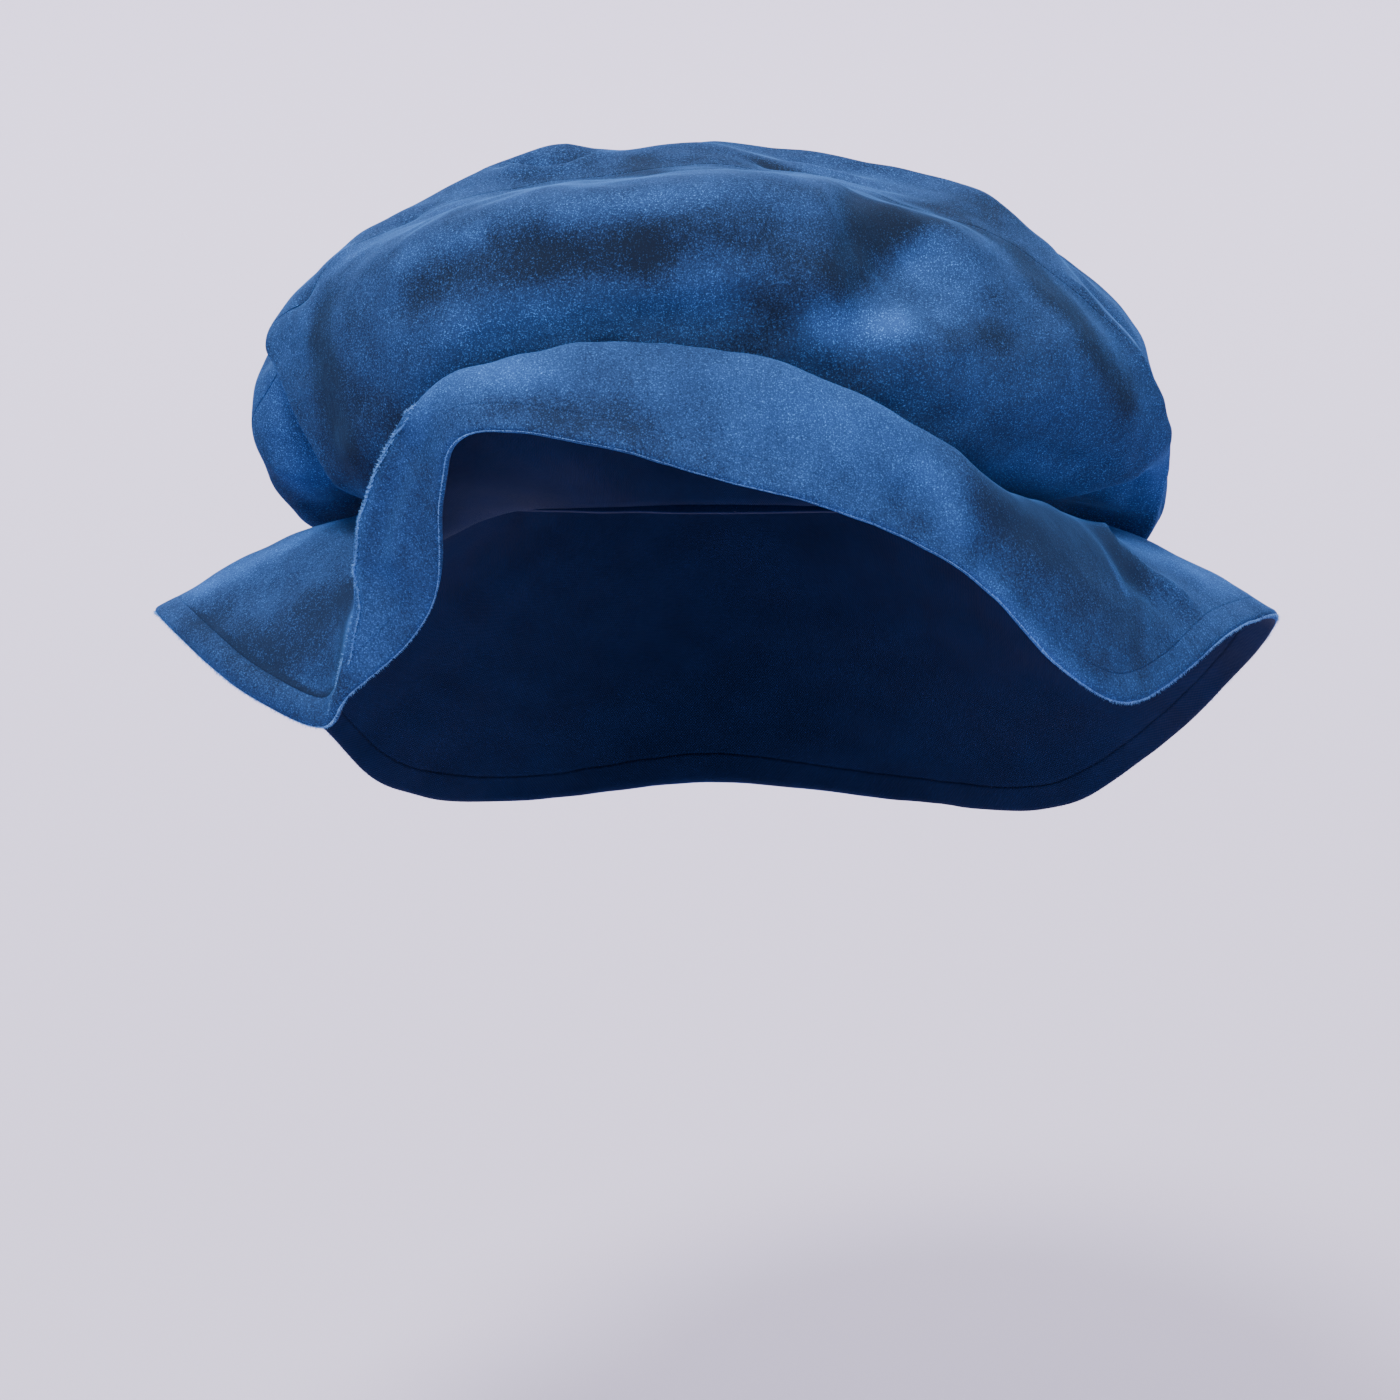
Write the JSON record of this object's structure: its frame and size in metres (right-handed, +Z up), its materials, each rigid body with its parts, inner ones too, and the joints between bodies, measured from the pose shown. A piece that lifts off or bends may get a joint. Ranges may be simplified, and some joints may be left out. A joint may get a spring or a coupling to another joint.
{
  "type": "velvet tudor beret",
  "caption": "Floppy velvet Tudor cap with a gathered crown and a wide waved brim, turned up at the front and dark lined.",
  "frame": {"origin": "centre of the oval head opening, where the crown and the brim are sewn together", "axes": "+Z up as worn, -Y the way the face looks, +X to the wearer's left"},
  "size_m": [0.3272, 0.2704, 0.2326],
  "materials": {
    "crown_top_velvet": "velvet",
    "crown_side_velvet": "velvet",
    "brim_velvet": "velvet",
    "lining_cloth": "smooth lining cloth",
    "hem_velvet": "velvet"
  },
  "bodies": {
    "root": {"crown_top": "crown_top_velvet", "crown_side": "crown_side_velvet", "brim": "brim_velvet", "brim_lining": "lining_cloth", "brim_hem": "hem_velvet"}
  },
  "joints": []
}
